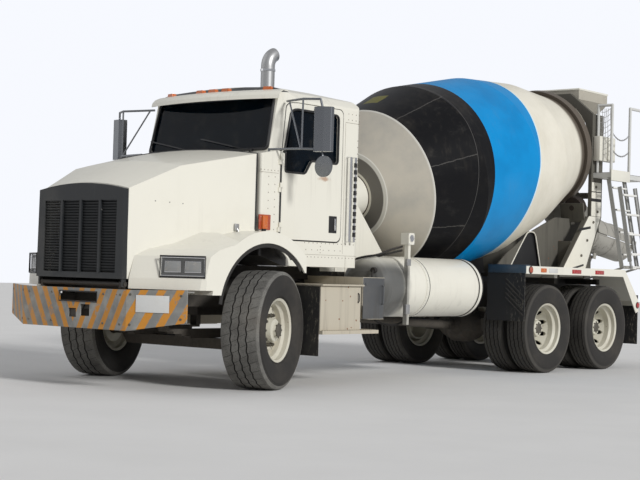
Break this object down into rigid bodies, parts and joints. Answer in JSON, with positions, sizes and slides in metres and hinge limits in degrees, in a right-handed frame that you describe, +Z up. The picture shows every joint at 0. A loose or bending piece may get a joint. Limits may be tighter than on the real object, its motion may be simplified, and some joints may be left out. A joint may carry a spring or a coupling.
{
  "type": "concrete mixer truck",
  "caption": "Conventional-cab concrete mixer truck with a tilted rotating drum, tandem rear axles with twin wheels, a charge hopper and a swinging discharge chute.",
  "frame": {"origin": "on the ground, at the middle of the truck's length and width", "axes": "X across the truck with +X the driver's side, +Y to the rear, +Z up"},
  "size_m": [3.06, 10.1697, 3.61],
  "materials": {
    "cream_paint": "satin",
    "frame_black": "satin",
    "dusty_steel": "matte",
    "stripe_paint": "satin",
    "radiator_shell": "satin",
    "lamp_chrome": "polished",
    "amber_lens": "gloss",
    "window_glass": "gloss",
    "cab_trim": "matte",
    "tyre_rubber": "matte",
    "rim_paint": "satin",
    "flap_rubber": "matte",
    "stack_steel": "brushed",
    "pedestal_paint": "matte",
    "drum_paint": "satin",
    "fin_steel": "brushed",
    "galvanised": "brushed",
    "bright_rod": "polished",
    "cast_dark": "matte",
    "mirror_steel": "brushed"
  },
  "bodies": {
    "chassis": {"chassis_frame": "frame_black", "subframe": "frame_black", "front_axle": "cast_dark", "rear_axles": "cast_dark", "powertrain": "frame_black", "bumper": "stripe_paint", "cab": "cream_paint", "cab_glass": "window_glass", "cab_interior": "cab_trim", "sun_visor": "cream_paint", "lamps": "amber_lens", "side_boxes": "dusty_steel", "water_tank": "cream_paint", "exhaust": "stack_steel", "front_pedestal": "cream_paint", "rear_pedestal": "pedestal_paint", "hopper": "cream_paint", "platform": "galvanised", "ladder": "galvanised", "rear_fenders": "cream_paint", "mudflaps": "flap_rubber", "collector": "cream_paint", "mirror_left": "mirror_steel", "mirror_right": "mirror_steel"},
    "hood": {"hood": "cream_paint", "grille": "radiator_shell", "headlamps": "lamp_chrome"},
    "door_left": {"door_left": "cream_paint", "door_glass_left": "window_glass"},
    "door_right": {"door_right": "cream_paint", "door_glass_right": "window_glass"},
    "knuckle_left": {"knuckle_left": "cast_dark"},
    "knuckle_right": {"knuckle_right": "cast_dark"},
    "front_wheel_left": {"front_wheel_left": "rim_paint", "front_tyre_left": "tyre_rubber"},
    "front_wheel_right": {"front_wheel_right": "rim_paint", "front_tyre_right": "tyre_rubber"},
    "drum": {"drum": "drum_paint", "drum_fins": "fin_steel"},
    "roller_left": {"roller_left": "cast_dark"},
    "roller_right": {"roller_right": "cast_dark"},
    "ladder_fold": {"ladder_fold": "galvanised"},
    "chute_pivot": {"chute_pivot": "frame_black"},
    "chute_main": {"chute_main": "cream_paint"},
    "chute_fold": {"chute_fold": "cream_paint"},
    "chute_cylinder": {"chute_cylinder": "frame_black"},
    "chute_rod": {"chute_rod": "bright_rod"},
    "rear_wheel_1_left": {"rear_wheel_1_left": "rim_paint", "rear_tyres_1_left": "tyre_rubber"},
    "rear_wheel_1_right": {"rear_wheel_1_right": "rim_paint", "rear_tyres_1_right": "tyre_rubber"},
    "rear_wheel_2_left": {"rear_wheel_2_left": "rim_paint", "rear_tyres_2_left": "tyre_rubber"},
    "rear_wheel_2_right": {"rear_wheel_2_right": "rim_paint", "rear_tyres_2_right": "tyre_rubber"}
  },
  "joints": [
    {"name": "steer_left", "type": "hinge", "parent": "chassis", "child": "knuckle_left", "pos_m": [0.88, -3.7094, 0.555], "axis": [0, 0, 1], "range_deg": [-50, 14]},
    {"name": "front_wheel_left_spin", "type": "hinge", "parent": "knuckle_left", "child": "front_wheel_left", "pos_m": [1.04168, -3.65687, 0.555], "axis": [0.9511, 0.309, 0], "continuous": true},
    {"name": "steer_right", "type": "hinge", "parent": "chassis", "child": "knuckle_right", "pos_m": [-0.88, -3.7094, 0.555], "axis": [0, 0, 1], "range_deg": [-50, 14]},
    {"name": "front_wheel_right_spin", "type": "hinge", "parent": "knuckle_right", "child": "front_wheel_right", "pos_m": [-1.04168, -3.76194, 0.555], "axis": [0.9511, 0.309, 0], "continuous": true},
    {"name": "rear_wheel_1_left_spin", "type": "hinge", "parent": "chassis", "child": "rear_wheel_1_left", "pos_m": [0.9175, 1.1776, 0.52], "axis": [1, 0, 0], "continuous": true},
    {"name": "rear_wheel_1_right_spin", "type": "hinge", "parent": "chassis", "child": "rear_wheel_1_right", "pos_m": [-0.9175, 1.1776, 0.52], "axis": [1, 0, 0], "continuous": true},
    {"name": "rear_wheel_2_left_spin", "type": "hinge", "parent": "chassis", "child": "rear_wheel_2_left", "pos_m": [0.9175, 2.5496, 0.52], "axis": [1, 0, 0], "continuous": true},
    {"name": "rear_wheel_2_right_spin", "type": "hinge", "parent": "chassis", "child": "rear_wheel_2_right", "pos_m": [-0.9175, 2.5496, 0.52], "axis": [1, 0, 0], "continuous": true},
    {"name": "hood_tilt", "type": "hinge", "parent": "chassis", "child": "hood", "pos_m": [0, -4.9894, 0.95], "axis": [1, 0, 0], "range_deg": [0, 62]},
    {"name": "door_left_swing", "type": "hinge", "parent": "chassis", "child": "door_left", "pos_m": [0.972, -3.3894, 2], "axis": [0, 0, -1], "range_deg": [0, 65]},
    {"name": "door_right_swing", "type": "hinge", "parent": "chassis", "child": "door_right", "pos_m": [-0.972, -3.3894, 2], "axis": [0, 0, 1], "range_deg": [0, 65]},
    {"name": "drum_spin", "type": "hinge", "parent": "chassis", "child": "drum", "pos_m": [0, -1.0764, 1.977], "axis": [0, 0.9781, 0.2079], "continuous": true},
    {"name": "roller_left_spin", "type": "hinge", "parent": "chassis", "child": "roller_left", "pos_m": [0.5, 2.95038, 2.05499], "axis": [0, 0.9781, 0.2079], "continuous": true},
    {"name": "roller_right_spin", "type": "hinge", "parent": "chassis", "child": "roller_right", "pos_m": [-0.5, 2.95038, 2.05499], "axis": [0, 0.9781, 0.2079], "continuous": true},
    {"name": "ladder_fold_down", "type": "hinge", "parent": "chassis", "child": "ladder_fold", "pos_m": [1.245, 3.3056, 1.29], "axis": [0, 1, 0], "range_deg": [0, 168]},
    {"name": "chute_swing", "type": "hinge", "parent": "chassis", "child": "chute_pivot", "pos_m": [0, 3.8806, 1.2], "axis": [0, 0, 1], "range_deg": [-90, 90]},
    {"name": "chute_lift", "type": "hinge", "parent": "chute_pivot", "child": "chute_main", "pos_m": [0, 3.8806, 1.48], "axis": [-1, 0, 0], "range_deg": [-12, 22]},
    {"name": "chute_unfold", "type": "hinge", "parent": "chute_main", "child": "chute_fold", "pos_m": [0, 5.06185, 1.62198], "axis": [-1, 0, 0], "range_deg": [0, 180]},
    {"name": "chute_cylinder_foot", "type": "hinge", "parent": "chute_pivot", "child": "chute_cylinder", "pos_m": [0, 3.9906, 1], "axis": [-1, 0, 0], "range_deg": [-6, 10]},
    {"name": "chute_rod_slide", "type": "slide", "parent": "chute_cylinder", "child": "chute_rod", "axis": [0, 0.5801, 0.8145], "range_m": [-0.16, 0.09]}
  ],
  "couplings": [
    {"joint": "steer_right", "follows": "steer_left", "ratio": 1},
    {"joint": "roller_left_spin", "follows": "drum_spin", "ratio": -6},
    {"joint": "roller_right_spin", "follows": "drum_spin", "ratio": -6},
    {"joint": "chute_cylinder_foot", "follows": "chute_lift", "ratio": 0.36},
    {"joint": "chute_rod_slide", "follows": "chute_lift", "m_per_rad": -0.377}
  ]
}
